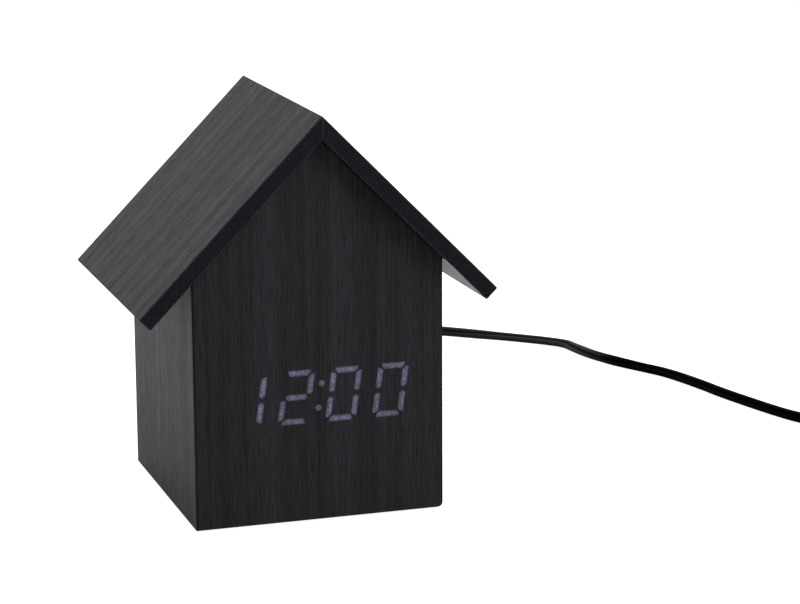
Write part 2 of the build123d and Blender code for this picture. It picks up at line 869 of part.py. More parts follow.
with BuildPart() as dc_plug_housing:
    plug_radius = plug_diameter / 2
    ring_profile(socket_x, control_z, [
        (0, plate_outer_y), (plug_radius - plug_easing, plate_outer_y),
        (plug_radius, plate_outer_y + plug_easing), (plug_radius, plug_back_y - plug_easing),
        (plug_radius - plug_easing, plug_back_y), (0, plug_back_y),
    ])
    for groove in range(plug_groove_count):
        groove_y = (2 * groove + 1 - plug_groove_count) * plug_groove_pitch / 2
        middle_y = (plate_outer_y + plug_back_y) / 2 + groove_y
        with BuildSketch(at_depth(middle_y)) as groove_ring:
            with Locations((socket_x, control_z)):
                Circle(plug_radius)
                Circle(plug_radius - plug_groove_depth, mode=Mode.SUBTRACT)
        extrude(groove_ring.sketch, amount=plug_groove_width / 2, both=True, mode=Mode.SUBTRACT)

with BuildPart() as plug_relief:
    ring_profile(socket_x, control_z, [
        (0, plug_back_y), (relief_base_diameter / 2, plug_back_y),
        (relief_tip_diameter / 2, relief_back_y), (0, relief_back_y),
    ])


def tube(points, radii, diameter):
    """A round cord along these points, with its corners rounded. Returns the line along its middle."""
    with BuildLine() as route:
        FilletPolyline(*points, radius=radii)
    middle = route.wire()
    with BuildSketch(Plane(origin=middle @ 0, z_dir=middle % 0)) as section:
        Circle(diameter / 2)
    sweep(section.sketch, path=middle)
    return middle


with BuildPart() as battery_leads:
    for side, loops in ((-1, 1), (1, 2)):
        wall_x = side * bay_length / 2
        loop_x = wall_x + side * wire_loop
        behind_y = control_back_y - loops * wire_loop
        cell_z = bay_z + side * cell_step
        end_x = control_x + side * lead_end_x
        lead_points = [
            (wall_x, lead_y, cell_z), (loop_x, lead_y, cell_z), (loop_x, behind_y, control_z),
            (end_x, behind_y, control_z), (end_x, control_back_y, control_z),
        ]
        tube(lead_points, wire_bend, wire_diameter)

with BuildPart() as socket_leads:
    for side in (-1, 1):
        lead_z = control_z + side * wire_gap
        behind_y = socket_back_y - wire_loop
        end_x = control_x + lead_end_x
        lead_points = [
            (socket_x, socket_back_y, lead_z), (socket_x, behind_y, lead_z),
            (end_x, behind_y, lead_z), (end_x, control_back_y, lead_z),
        ]
        tube(lead_points, wire_bend, wire_diameter)


# Power cord, coil, tie and tail
def corner_radii(points):
    """The bend at each corner, as wide as the shorter run beside it allows."""
    radii = []
    for before, here, after in zip(points, points[1:], points[2:]):
        run_in, run_out = Vector(*here) - Vector(*before), Vector(*after) - Vector(*here)
        half_angle = radians(run_in.get_angle(run_out)) / 2
        radii.append(cord_corner_share * min(run_in.length, run_out.length) / tan(half_angle))
    return radii


cord_radii = corner_radii(cord_points)
with BuildPart() as power_cord:
    cord_line = tube(cord_points, cord_radii, cord_width)

with BuildPart() as cord_coil:
    with BuildLine(coil_plane) as coil_route:
        x, y, z = cord_width, 0, 0
        Line((0, 0, 0), (x, y, z))
        for turn, radius in enumerate(half_turn_radii):
            side = 1 - 2 * (turn % 2)
            rise = coil_pitch if turn == coil_half_turns_in else 0
            far_y, far_z = y + side * 2 * radius, z + rise
            arc_x = x + side * hypot(2 * radius, rise) / 2
            ThreePointArc((x, y, z), (arc_x, (y + far_y) / 2, (z + far_z) / 2), (x, far_y, far_z))
            y, z = far_y, far_z
        tail_start = Vector(x + cord_width, y, z)
        Line((x, y, z), tuple(tail_start))
    coil_line = coil_route.wire()
    with BuildSketch(Plane(origin=coil_line @ 0, z_dir=coil_line % 0)):
        Circle(cord_width / 2)
    sweep(path=coil_line)

tail_points = [
    tuple(coil_plane.from_local_coords(point))
    for point in (tail_start, *[tail_start + Vector(*offset) for offset in tail_route])
]
tail_radii = corner_radii(tail_points)
with BuildPart() as cord_tail:
    tail_line = tube(tail_points, tail_radii, cord_width)

inner_turn_radius = half_turn_radii[coil_half_turns_in - 1]
tie_middle = (half_turn_radii[0] + inner_turn_radius) / 2
tie_inner_width = half_turn_radii[0] - inner_turn_radius + cord_width + 2 * tie_side_fit
tie_inner_height = coil_pitch + cord_width + tie_top_fit
tie_plane = Plane(
    origin=coil_plane.from_local_coords((cord_width + tie_middle, coil_outer_radius + coil_pitch / 2, 0)),
    x_dir=coil_plane.x_dir, z_dir=-coil_plane.y_dir,
)
with BuildPart() as coil_tie:
    with BuildSketch(tie_plane):
        with Locations((0, (tie_inner_height - cord_width) / 2)):
            RectangleRounded(
                tie_inner_width + 2 * tie_thickness, tie_inner_height + 2 * tie_thickness,
                tie_corner + tie_thickness,
            )
            RectangleRounded(tie_inner_width, tie_inner_height, tie_corner, mode=Mode.SUBTRACT)
    extrude(amount=tie_width / 2, both=True)

# Plug on the far end, from the cord outwards
usb_heading = tail_line % 1
usb_sideways = Vector(-usb_heading.Y, usb_heading.X, 0)


def usb_plane(along):
    """The plane across the plug, this far from the end of the cord."""
    return Plane(origin=(tail_line @ 1) + usb_heading * along, x_dir=usb_sideways, z_dir=usb_heading)


shell_start = usb_neck_length + usb_length
with BuildPart() as usb_housing:
    with BuildSketch(usb_plane(usb_neck_length)):
        RectangleRounded(usb_width, usb_thickness, usb_corner)
    extrude(amount=usb_length)
    chamfer(edges().group_by(Axis(tail_line @ 1, usb_heading))[0], usb_easing)
    with BuildSketch(usb_plane(0)):
        Circle(usb_neck_diameter / 2)
    extrude(amount=usb_neck_length)

with BuildPart() as usb_shell:
    with BuildSketch(usb_plane(shell_start)):
        Rectangle(usb_shell_width, usb_shell_thickness)
        Rectangle(
            usb_shell_width - 2 * usb_shell_wall, usb_shell_thickness - 2 * usb_shell_wall,
            mode=Mode.SUBTRACT,
        )
    extrude(amount=usb_shell_length)
    window_along = shell_start + usb_window_rise_share * usb_shell_length
    with BuildSketch(usb_plane(window_along)) as windows:
        for side in (-1, 1):
            with Locations((side * usb_window_share * usb_shell_width, 0)):
                Rectangle(usb_window, usb_shell_thickness)
    extrude(windows.sketch, amount=usb_window, mode=Mode.SUBTRACT)

with BuildPart() as usb_tongue:
    with BuildSketch(usb_plane(shell_start)):
        with Locations((0, usb_shell_wall + (usb_tongue_thickness - usb_shell_thickness) / 2)):
            Rectangle(usb_shell_width - 2 * usb_shell_wall, usb_tongue_thickness)
    extrude(amount=usb_shell_length - usb_tongue_inset)

pieces = {
    "front_panel": front_panel, "front_veneer": front_veneer, "left_side_panel": left_side_panel,
    "right_side_panel": right_side_panel, "back_panel": back_panel, "bottom_panel": bottom_panel,
    "rubber_feet": rubber_feet, "left_roof_board": left_roof_board, "right_roof_board": right_roof_board,
    "display_reflector": display_reflector, "lit_segments": lit_segments, "unlit_segments": unlit_segments,
    "display_board": display_board, "display_leds": display_leds, "display_screws": display_screws,
    "driver_chip": driver_chip, "capacitors": capacitors, "display_connector": display_connector,
    "ribbon_cable": ribbon_cable, "control_connector": control_connector, "service_panel": service_panel,
    "panel_screws": panel_screws, "battery_cover": battery_cover, "aaa_cell_1": aaa_cell_1,
    "aaa_cell_2": aaa_cell_2, "aaa_cell_3": aaa_cell_3, "spring_contacts": spring_contacts,
    "flat_contacts": flat_contacts, "battery_leads": battery_leads, "control_board": control_board,
    "control_screws": control_screws, "control_chip": control_chip, "clock_crystal": clock_crystal,
    "buzzer": buzzer, "microphone": microphone, "tact_switches": tact_switches, "set_plunger": set_plunger,
    "up_plunger": up_plunger, "down_plunger": down_plunger, "set_button": set_button, "up_button": up_button,
    "down_button": down_button, "power_socket": power_socket, "socket_pin": socket_pin,
    "socket_leads": socket_leads, "dc_plug_barrel": dc_plug_barrel, "dc_plug_housing": dc_plug_housing,
    "plug_relief": plug_relief, "power_cord": power_cord, "cord_coil": cord_coil, "coil_tie": coil_tie,
    "cord_tail": cord_tail, "usb_housing": usb_housing, "usb_shell": usb_shell, "usb_tongue": usb_tongue,
}
for name, piece in pieces.items():
    piece.part.label = name
    export_step(piece.part, f"parts/{name}.step")

# What the cord comes to: its tightest bends, its length, its volumes and the least gap inside the coil
section_area = pi * (cord_width / 2) ** 2
cord_length = cord_line.length + coil_line.length + tail_line.length
print(f"cord radii {min(cord_radii):.1f}, tail radii {min(tail_radii):.1f}, cord length {cord_length:.0f}")
for name, line in (("power_cord", cord_line), ("cord_coil", coil_line), ("cord_tail", tail_line)):
    print(f"{name} volume {pieces[name].part.volume:.0f}, section x length {section_area * line.length:.0f}")
last_step = len(half_turn_radii) * coil_samples
coil_spots = [coil_line @ (step / last_step) for step in range(last_step + 1)]
coil_gap = min(
    (here - there).length
    for step, here in enumerate(coil_spots) for there in coil_spots[step + coil_samples:]
) - cord_width
print(f"least gap between turns of the coil {coil_gap:.2f}")
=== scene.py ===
from math import cos, pi, radians, sin

import bmesh
import bpy
from mathutils import Matrix, Vector


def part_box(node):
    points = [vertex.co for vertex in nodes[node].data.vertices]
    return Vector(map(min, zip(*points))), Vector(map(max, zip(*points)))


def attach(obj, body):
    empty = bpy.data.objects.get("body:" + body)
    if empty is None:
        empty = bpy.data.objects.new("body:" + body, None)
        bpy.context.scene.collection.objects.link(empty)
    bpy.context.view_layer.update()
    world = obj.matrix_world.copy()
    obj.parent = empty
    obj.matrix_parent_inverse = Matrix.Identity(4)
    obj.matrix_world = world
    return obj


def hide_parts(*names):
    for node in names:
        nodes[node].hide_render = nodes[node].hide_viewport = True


# A table clock in the shape of a small house, in metres and degrees, in the frame of its CAD
# model: the digits face -Y, +Z is up, and the floor is at zero.

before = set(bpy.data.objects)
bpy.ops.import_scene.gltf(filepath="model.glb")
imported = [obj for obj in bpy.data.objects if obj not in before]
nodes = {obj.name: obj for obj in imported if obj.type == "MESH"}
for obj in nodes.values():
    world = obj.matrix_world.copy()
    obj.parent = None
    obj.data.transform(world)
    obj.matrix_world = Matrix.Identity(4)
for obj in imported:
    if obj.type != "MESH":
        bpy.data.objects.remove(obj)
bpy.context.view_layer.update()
scene = bpy.context.scene


# Camera: it looks at the target from the front and a little from the left, slightly down
def place_camera(target, distance, yaw, pitch, roll, lens):
    """Aims a camera at a point. Yaw moves it to the right, pitch lifts it and roll leans it."""
    yaw, pitch = radians(yaw), radians(pitch)
    back = Vector((sin(yaw) * cos(pitch), -cos(yaw) * cos(pitch), sin(pitch)))
    right = Vector((cos(yaw), sin(yaw), 0))
    axes = Matrix((right, back.cross(right), back)).transposed()
    place = Matrix.Translation(Vector(target) + back * distance)
    camera = bpy.data.objects.new("camera", bpy.data.cameras.new("camera"))
    camera.data.lens = lens
    camera.data.clip_end = 20
    camera.matrix_world = place @ axes.to_4x4() @ Matrix.Rotation(radians(roll), 4, "Z")
    scene.collection.objects.link(camera)
    scene.camera = camera


place_camera(
    target=(0.04637, 0, 0.06839), distance=1.0349, yaw=-17.914, pitch=12.869, roll=-0.304,
    lens=121.56,
)

# Power cord: a flat twin cord on its edge, a round lobe for each of its cores. A lobe's circle is
# left open by the waist angle on both sides of where the other lobe joins it. Each point of the
# route has its place and how far the cord leans there. The tail starts where the coil ends
CORD_WIDTH = 0.0045
LOBE_RADIUS = 0.00125
LOBE_OFFSET = CORD_WIDTH / 2 - LOBE_RADIUS
LOBE_STEPS = 10
WAIST_ANGLE = 38
SPLINE_STEPS = 6
cord_route = [
    (0.0204, 0.07815, 0.06345, 0), (0.0204, 0.09715, 0.06345, 0), (0.023, 0.118, 0.050, 0),
    (0.028, 0.130, 0.030, 0), (0.037, 0.146, 0.011, 5), (0.050, 0.167, 0.0023, 10),
    (0.070, 0.194, 0.0023, 10), (0.098, 0.215, 0.0023, 0), (0.119, 0.2243, 0.0023, 0),
    (0.163, 0.189, 0.00195, 62), (0.1815, 0.171, 0.00195, 61), (0.182, 0.1615, 0.0021, 40),
    (0.1855, 0.1405, 0.0023, 0), (0.1965, 0.118, 0.0020, 52), (0.204, 0.1045, 0.0020, 51),
    (0.210, 0.078, 0.0021, 41), (0.212, 0.064, 0.0021, 36), (0.2235, 0.0185, 0.0022, 35),
    (0.229, 0.009, 0.00295, 0), (0.246, -0.003, 0.00295, 0),
]
tail_route = [
    (0, 0, 0), (0.013, 0, 0), (0.025, -0.003, -0.0013), (0.035, -0.0095, -0.0032),
    (0.042, -0.0185, -0.00415), (0.046, -0.029, -0.00415),
]

# Its put-away coil, and the strap that holds the turns. The coil's frame has its origin where the
# cord enters it and X along the cord there. On top, the strap narrows and ends at these shares of
# the way from its middle to its corner
COIL_RADIUS = 0.030
COIL_PITCH = 0.0050
HALF_TURNS_IN = 5
HALF_TURNS_OUT = 4
COIL_STEPS = 8
STRAP_WIDTH = 0.005
STRAP_THICKNESS = 0.0006
STRAP_CORNER = 0.0018
STRAP_CORNER_STEPS = 6
STRAP_HALF_WIDTH = 0.00835
STRAP_HALF_HEIGHT = 0.0051
STRAP_MIDDLE = (0.0295, 0.0325, 0.00255)
STRAP_LAP = 0.0016
STRAP_NARROWS_AT, STRAP_ENDS_AT = 0.6, 0.7
STRAP_TIP_SHARE = 0.7


def coil_points():
    """The coil's points and its end, in its frame: in from outside, up, and out again on top."""
    radii = [COIL_RADIUS - turn * COIL_PITCH / 2 for turn in range(HALF_TURNS_IN + 1)]
    radii += [radii[-1] + (turn + 1) * COIL_PITCH / 2 for turn in range(HALF_TURNS_OUT)]
    step_angle = pi / COIL_STEPS
    y, z, points = 0.0, 0.0, []
    for turn, radius in enumerate(radii):
        side = 1 - 2 * (turn % 2)
        rise = COIL_PITCH if turn == HALF_TURNS_IN else 0
        reach = radius / cos(step_angle / 2)
        for step in range(COIL_STEPS):
            angle = (step + 0.5) * step_angle
            points.append((
                CORD_WIDTH + side * reach * sin(angle), y + side * (radius - reach * cos(angle)),
                z + rise * (1 - cos(angle)) / 2,
            ))
        y, z = y + side * 2 * radius, z + rise
    return points, Vector((CORD_WIDTH * 2, y, z))


def spline_points(points, tilts):
    """Points along the smooth line that these control points shape, each with its lean."""
    curve = bpy.data.curves.new("cord_line", "CURVE")
    curve.dimensions = "3D"
    curve.resolution_u = SPLINE_STEPS
    line = curve.splines.new("NURBS")
    line.points.add(len(points) - 1)
    for spot, point in zip(line.points, points):
        spot.co = (*point, 1)
    line.order_u = 3
    line.use_endpoint_u = True
    carrier = bpy.data.objects.new("cord_line", curve)
    mesh = bpy.data.meshes.new_from_object(carrier)
    path = [vertex.co.copy() for vertex in mesh.vertices]
    bpy.data.objects.remove(carrier)
    bpy.data.curves.remove(curve)
    bpy.data.meshes.remove(mesh)
    # A span of this spline runs from halfway between two points to halfway between the next two
    spans = len(tilts) - 2
    leans = []
    for index in range(len(path)):
        place = index / (len(path) - 1) * spans + 0.5
        low = int(place)
        leans.append(tilts[low] + (tilts[low + 1] - tilts[low]) * (place - low))
    return path, leans


def twin_profile():
    """The section of the cord: two round cores side by side, joined by a narrow web."""
    outline = []
    waist = radians(WAIST_ANGLE)
    sweep = 2 * pi - 2 * waist
    for centre, start in ((LOBE_OFFSET, -pi / 2 + waist), (-LOBE_OFFSET, pi / 2 + waist)):
        for step in range(LOBE_STEPS + 1):
            angle = start + sweep * step / LOBE_STEPS
            outline.append((LOBE_RADIUS * cos(angle), centre + LOBE_RADIUS * sin(angle)))
    return outline


def mesh_piece(name, mesh, body):
    """Makes a piece from a mesh in the frame of the model and lets it ride on a body."""
    piece = bpy.data.objects.new(name, mesh)
    scene.collection.objects.link(piece)
    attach(piece, body)
    return piece


def finished_mesh(name, build):
    mesh = bpy.data.meshes.new(name)
    build.to_mesh(mesh)
    build.free()
    return mesh


def join_rings(build, rings):
    """Closes a row of rings of vertices into a solid, smooth along its length."""
    for ring, following in zip(rings, rings[1:]):
        for k in range(len(ring)):
            near = (k + 1) % len(ring)
            build.faces.new((ring[k], ring[near], following[near], following[k]))
    build.faces.new(list(reversed(rings[0])))
    build.faces.new(rings[-1])
    bmesh.ops.recalc_face_normals(build, faces=build.faces)
    for face in build.faces:
        face.smooth = len(face.verts) == 4


def cord_mesh(name, path, leans):
    """The cord's section carried along a path, upright apart from its lean.

    Its vertices carry a groove value: 0 outside the two cores' middles and 1 halfway between them.
    """
    build = bmesh.new()
    groove = build.verts.layers.float.new("groove")
    profile = twin_profile()
    rings = []
    for index, (spot, lean) in enumerate(zip(path, leans)):
        ahead = (path[min(index + 1, len(path) - 1)] - path[max(index - 1, 0)]).normalized()
        side = ahead.cross(Vector((0, 0, 1))).normalized()
        turn = Matrix.Rotation(-radians(lean), 3, ahead)
        side, up = turn @ side, turn @ side.cross(ahead)
        ring = [build.verts.new(spot + side * x + up * y) for x, y in profile]
        for vertex, (_, y) in zip(ring, profile):
            vertex[groove] = max(0, 1 - abs(y) / LOBE_OFFSET)
        rings.append(ring)
    join_rings(build, rings)
    return finished_mesh(name, build)


def strap_path():
    """The strap's way round the coil, in its own plane. Its free end lies over its start."""
    inner_x, inner_z = STRAP_HALF_WIDTH - STRAP_CORNER, STRAP_HALF_HEIGHT - STRAP_CORNER
    start_x, upper_z = STRAP_LAP - inner_x, STRAP_HALF_HEIGHT + STRAP_THICKNESS
    path = [(start_x, STRAP_HALF_HEIGHT)]
    for number, (side, level) in enumerate([(1, 1), (1, -1), (-1, -1), (-1, 1)]):
        for step in range(STRAP_CORNER_STEPS + 1):
            angle = pi / 2 * (1 - number - step / STRAP_CORNER_STEPS)
            path.append((
                side * inner_x + STRAP_CORNER * cos(angle),
                level * inner_z + STRAP_CORNER * sin(angle),
            ))
    lap_places = (start_x, 0, inner_x * STRAP_NARROWS_AT, inner_x * STRAP_ENDS_AT)
    return path + [(x, upper_z) for x in lap_places]


def strap_mesh(name, middle, axes):
    """The strap: a woven band with thicker edges and a narrower tip."""
    edge, border, web = STRAP_WIDTH / 2, STRAP_WIDTH / 2 * 0.9, STRAP_WIDTH * 0.4
    rib, shoulder, hollow = (STRAP_THICKNESS / 2 * share for share in (1, 0.7, 0.6))
    profile = [
        (-edge, -rib), (edge, -rib), (edge, shoulder), (border, rib), (web, hollow),
        (-web, hollow), (-border, rib), (-edge, shoulder),
    ]
    path = strap_path()
    build = bmesh.new()
    rings = []
    for index, (x, z) in enumerate(path):
        before, after = path[max(index - 1, 0)], path[min(index + 1, len(path) - 1)]
        ahead = Vector((after[0] - before[0], after[1] - before[1])).normalized()
        share = STRAP_TIP_SHARE if index == len(path) - 1 else 1
        rings.append([
            build.verts.new(
                middle + axes @ Vector((x - ahead.y * out, share * across, z + ahead.x * out))
            )
            for across, out in profile
        ])
    join_rings(build, rings)
    return finished_mesh(name, build)


entry, before_entry = Vector(cord_route[-1][:3]), Vector(cord_route[-2][:3])
heading = (entry - before_entry).normalized()
coil_axes = Matrix((heading, Vector((-heading.y, heading.x, 0)), Vector((0, 0, 1)))).transposed()
winding, tail_start = coil_points()
coil_and_tail = [Vector(point) for point in winding]
coil_and_tail += [tail_start + Vector(offset) for offset in tail_route]
cord_points = [point[:3] for point in cord_route]
cord_points += [tuple(entry + coil_axes @ point) for point in coil_and_tail]
cord_tilts = [point[3] for point in cord_route] + [0] * len(coil_and_tail)
cord_path, cord_leans = spline_points(cord_points, cord_tilts)
power_cord = mesh_piece("flat_cord", cord_mesh("flat_cord", cord_path, cord_leans), "power_cable")
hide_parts("power_cord", "cord_coil", "cord_tail")
strap_middle = entry + coil_axes @ Vector(STRAP_MIDDLE)
strap = mesh_piece("coil_strap", strap_mesh("coil_strap", strap_middle, coil_axes), "power_cable")
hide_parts("coil_tie")


# Tools for materials
def put(tree, kind, inputs=None, **settings):
    """Adds a node. Each input named gets a number or colour, or a link from a socket."""
    node = tree.nodes.new(kind)
    for name, value in settings.items():
        setattr(node, name, value)
    for name, value in (inputs or {}).items():
        if isinstance(value, bpy.types.NodeSocket):
            tree.links.new(value, node.inputs[name])
        else:
            node.inputs[name].default_value = value
    return node


def new_material(name, **uniform):
    """A material and its shader, with the values that are the same all over."""
    material = bpy.data.materials.new(name)
    material.use_nodes = True
    surface = material.node_tree.nodes["Principled BSDF"]
    for socket, value in uniform.items():
        surface.inputs[socket.replace("_", " ")].default_value = value
    return material, material.node_tree, surface


def finish_surface(tree, surface, colour, rough, height, strength, relief):
    """Gives a shader its colour, its roughness and a bump, with the relief as its depth."""
    tree.links.new(colour, surface.inputs["Base Color"])
    tree.links.new(rough, surface.inputs["Roughness"])
    bump = put(tree, "ShaderNodeBump", {"Height": height, "Strength": strength, "Distance": relief})
    tree.links.new(bump.outputs[0], surface.inputs["Normal"])


def grey(level, tint=(1.0, 1.0, 1.0)):
    return (level * tint[0], level * tint[1], level * tint[2], 1)


def combine(tree, operation, first, second=0.0):
    """One number from two, each of them a number or a socket."""
    return put(tree, "ShaderNodeMath", {0: first, 1: second}, operation=operation).outputs[0]


def spread(tree, value, low, high, to_low=0.0, to_high=1.0):
    """Moves a value from one range to another and stays within it."""
    return put(tree, "ShaderNodeMapRange", {
        "Value": value, "From Min": low, "From Max": high, "To Min": to_low, "To Max": to_high,
    }).outputs[0]


def blend(tree, factor, first, second):
    """Mixes two colours, which are inputs 6 and 7 of the node."""
    mix = put(tree, "ShaderNodeMix", data_type="RGBA")
    sockets = mix.inputs["Factor"], mix.inputs[6], mix.inputs[7]
    for socket, value in zip(sockets, (factor, first, second)):
        if isinstance(value, bpy.types.NodeSocket):
            tree.links.new(value, socket)
        else:
            socket.default_value = value
    return mix.outputs[2]


def place_on_object(tree):
    return put(tree, "ShaderNodeTexCoord").outputs["Object"]


def along_axes(tree, vector):
    return put(tree, "ShaderNodeSeparateXYZ", {"Vector": vector}).outputs


def vertex_value(tree, name):
    return put(tree, "ShaderNodeAttribute", attribute_name=name).outputs["Fac"]


def noise(tree, cells, detail=2.0, roughness=0.5, turn=0.0):
    """Noise with these numbers of cells a metre along X, Y and Z, after a turn about Y."""
    turned = put(tree, "ShaderNodeMapping", {
        "Vector": place_on_object(tree), "Rotation": (0, radians(turn), 0),
    })
    place = put(tree, "ShaderNodeMapping", {"Vector": turned.outputs[0], "Scale": cells})
    return put(tree, "ShaderNodeTexNoise", {
        "Vector": place.outputs[0], "Scale": 1.0, "Detail": detail, "Roughness": roughness,
    }).outputs["Fac"]


# A range is the part of a noise's values, or of another number, that a whole change covers. The
# harder one gives more contrast
SOFT_RANGE = (0.3, 0.7)
HARD_RANGE = (0.35, 0.65)

# Wood. Its black leans towards violet. A layer of the grain has its cells a metre across and
# along it, whether a shorter grain shortens it too, its detail, and its share
BLACK_TINT = (1.09, 1.0, 1.16)
GLOSS_TINT = (0.98, 0.93, 1.0, 1)
GRAIN_LAYERS = (
    (150, 1.5, False, 2.0, 0.32), (1600, 9, True, 2.0, 0.25), (2300, 65, True, 1.0, 0.24),
    (2800, 1300, False, 1.0, 0.19),
)
LAYER_ROUGHNESS = 0.6
LAYER_RANGE = (0.32, 0.68)
STREAK_TONE_RANGE = (0.15, 0.85)
STREAK_GLOSS_RANGE = (0.2, 0.8)
STREAK_ROUGHNESS = (0.52, 0.36)
STREAK_HEIGHT = 0.5
PORE_CELLS = (3800, 3800, 110)
PORE_RANGE = (0.54, 0.68)
PORE_COVER = 0.7
PORE_TONE = 0.25
PORE_ROUGHNESS = 0.16
BORDER_WIDTHS = (0.0008, 0.0003)
BORDER_LEVEL = 0.008

# Roof boards: paint with fine specks on their ends, a broken line at the mitre that is painted
# light and shade, and glossier undersides. How far a surface faces along Y tells the ends, and how
# far it faces down tells the undersides
PAINT_TINT = (1.08, 1.0, 1.3)
PAINT_LEVELS = (0.0045, 0.017)
SPECK_CELLS = (2500, 2500, 2500)
SPECK_RANGE = (0.4, 0.8)
END_FACING = (0.75, 0.95)
# The mitre line is painted light and shade: its widths, and the noise that breaks it up
MITRE_LIGHT_WIDTHS = (0.0002, 0.0004)
MITRE_LIGHT_BREAK_CELLS = (10, 10, 700)
MITRE_LIGHT_BREAK_RANGE = (0.35, 0.6)
MITRE_LIGHT_BREAK_SHARES = (0.35, 1)
UNDERSIDE_FACING = (-0.7, -0.5)
UNDERSIDE_ROUGHNESS_SHARE = 0.5


def grain(tree, turn=0.0, shorter=1.0):
    """The grain along Z: streaks, from broad bands to short flecks, and pores, each from 0 to 1."""
    streaks = 0.0
    for across, along, shortens, detail, share in GRAIN_LAYERS:
        cells = (across, across, along * shorter if shortens else along)
        part = spread(tree, noise(tree, cells, detail, LAYER_ROUGHNESS, turn), *LAYER_RANGE)
        streaks = combine(tree, "ADD", streaks, combine(tree, "MULTIPLY", part, share))
    return streaks, spread(tree, noise(tree, PORE_CELLS, 1.0, turn=turn), *PORE_RANGE)


def roof_finish(tree, wood, rough, mitre_light_colour):
    """Paints a board's ends and a mitre line of painted light and shade, and glosses its underside.
    """
    facing = along_axes(tree, put(tree, "ShaderNodeTexCoord").outputs["Normal"])
    polish = spread(tree, facing["Z"], *UNDERSIDE_FACING, UNDERSIDE_ROUGHNESS_SHARE, 1)
    specks = spread(tree, noise(tree, SPECK_CELLS, 1.0), *SPECK_RANGE)
    paint = blend(tree, specks, *(grey(level, PAINT_TINT) for level in PAINT_LEVELS))
    # A broken line of painted light and shade along the mitre
    from_mitre = combine(tree, "ABSOLUTE", along_axes(tree, place_on_object(tree))["X"])
    mitre_light_breaks = spread(tree, noise(tree, MITRE_LIGHT_BREAK_CELLS, 1.0), *MITRE_LIGHT_BREAK_RANGE, *MITRE_LIGHT_BREAK_SHARES)
    mitre_light_line = combine(tree, "MULTIPLY", spread(tree, from_mitre, *MITRE_LIGHT_WIDTHS, 1, 0), mitre_light_breaks)
    painted = spread(tree, combine(tree, "ABSOLUTE", facing["Y"]), *END_FACING)
    wood = blend(tree, painted, wood, blend(tree, mitre_light_line, paint, mitre_light_colour))
    return wood, combine(tree, "MULTIPLY", rough, polish)


def dark_border(tree, wood, half_width):
    """Darkens the two upright edges of a sheet."""
    side = combine(tree, "ABSOLUTE", along_axes(tree, place_on_object(tree))["X"])
    outer = spread(tree, side, *(half_width - width for width in BORDER_WIDTHS))
    return blend(tree, outer, wood, grey(BORDER_LEVEL, BLACK_TINT))


def wood_grain(
    name, tone, gloss, contrast=0.5, turn=0.0, shorter=1.0, mitre_light_colour=None, half_width=None
):
    """Black foil with an open grain along Z, or along a slope where it is turned.

    A colour of painted light and shade at the mitre makes it a roof board's. A half width gives it
    a dark border.
    """
    material, tree, surface = new_material(
        name, Specular_IOR_Level=gloss, Specular_Tint=GLOSS_TINT
    )
    streaks, pores = grain(tree, turn, shorter)
    wood = blend(
        tree, spread(tree, streaks, *STREAK_TONE_RANGE),
        grey(tone * (1 - contrast), BLACK_TINT), grey(tone * (1 + contrast), BLACK_TINT),
    )
    in_pores = combine(tree, "MULTIPLY", pores, PORE_COVER)
    wood = blend(tree, in_pores, wood, grey(tone * PORE_TONE, BLACK_TINT))
    rough = combine(
        tree, "ADD", spread(tree, streaks, *STREAK_GLOSS_RANGE, *STREAK_ROUGHNESS),
        combine(tree, "MULTIPLY", pores, PORE_ROUGHNESS),
    )
    if mitre_light_colour:
        wood, rough = roof_finish(tree, wood, rough, mitre_light_colour)
    if half_width:
        wood = dark_border(tree, wood, half_width)
    height = combine(tree, "SUBTRACT", combine(tree, "MULTIPLY", streaks, STREAK_HEIGHT), pores)
    finish_surface(tree, surface, wood, rough, height, strength=0.3, relief=0.00006)
    return material


# Moulded surfaces, and the vinyl of the cord
CLOUD_CELLS = (120, 120, 120)
ROUGHNESS_CHANGES = (-0.06, 0.08)
VINYL_CELLS = (700, 700, 700)
VINYL_LEVELS = (0.0008, 0.0018)
VINYL_ROUGHNESS = (0.26, 0.38)
GROOVE_RANGE = (0.1, 0.5)
GROOVE_ROUGHNESS = 0.6


def speckled(name, colour, second, roughness, size, relief, **uniform):
    """A moulded or coated surface: two near colours, a fine texture and slight changes of gloss."""
    material, tree, surface = new_material(name, **uniform)
    cloud = spread(tree, noise(tree, CLOUD_CELLS, 3.0), *HARD_RANGE)
    texture = noise(tree, (1 / size, 1 / size, 1 / size))
    limits = (roughness + change for change in ROUGHNESS_CHANGES)
    rough = spread(tree, texture, *SOFT_RANGE, *limits)
    colour = blend(tree, cloud, colour, second)
    finish_surface(tree, surface, colour, rough, texture, strength=0.4, relief=relief)
    return material


def sheath(name, sheen):
    """The cord's black vinyl, duller in its groove."""
    material, tree, surface = new_material(name, Specular_IOR_Level=sheen)
    texture = noise(tree, VINYL_CELLS)
    dulled = spread(tree, vertex_value(tree, "groove"), *GROOVE_RANGE, 0, GROOVE_ROUGHNESS)
    rough = combine(tree, "ADD", spread(tree, texture, *SOFT_RANGE, *VINYL_ROUGHNESS), dulled)
    colour = blend(tree, texture, *(grey(level) for level in VINYL_LEVELS))
    finish_surface(tree, surface, colour, rough, texture, strength=0.3, relief=0.00004)
    return material


# Lit strokes. Their vertices carry how near they are to the bright core: 0 at the rim, 1 at the
# middle and a value between where the rim ends. The grain and its pores take away some light
RIM_WIDTH = 0.0006
RIM_END_CORE = 0.65
CORE_LIGHT = (0.22, 1.2)
STREAK_LIGHT = (0.5, 1)
WEAVE_CELLS = (1000, 1000, 1200)
WEAVE_LIGHT = (0.45, 1)
PORE_LIGHT = (1, 0.7)
GLOW_COLOURS = ((0.014, 0.013, 0.018, 1), (0.173, 0.158, 0.272, 1))
UNLIT_COLOUR = grey(0.02)

# For meshes from the CAD model: vertices nearer than this are one, faces that meet at less than
# this angle are one, and a front faces along -Y at least this much
WELD_DISTANCE = 0.000001
FLAT_ANGLE = 2
FRONT_FACING = 0.9


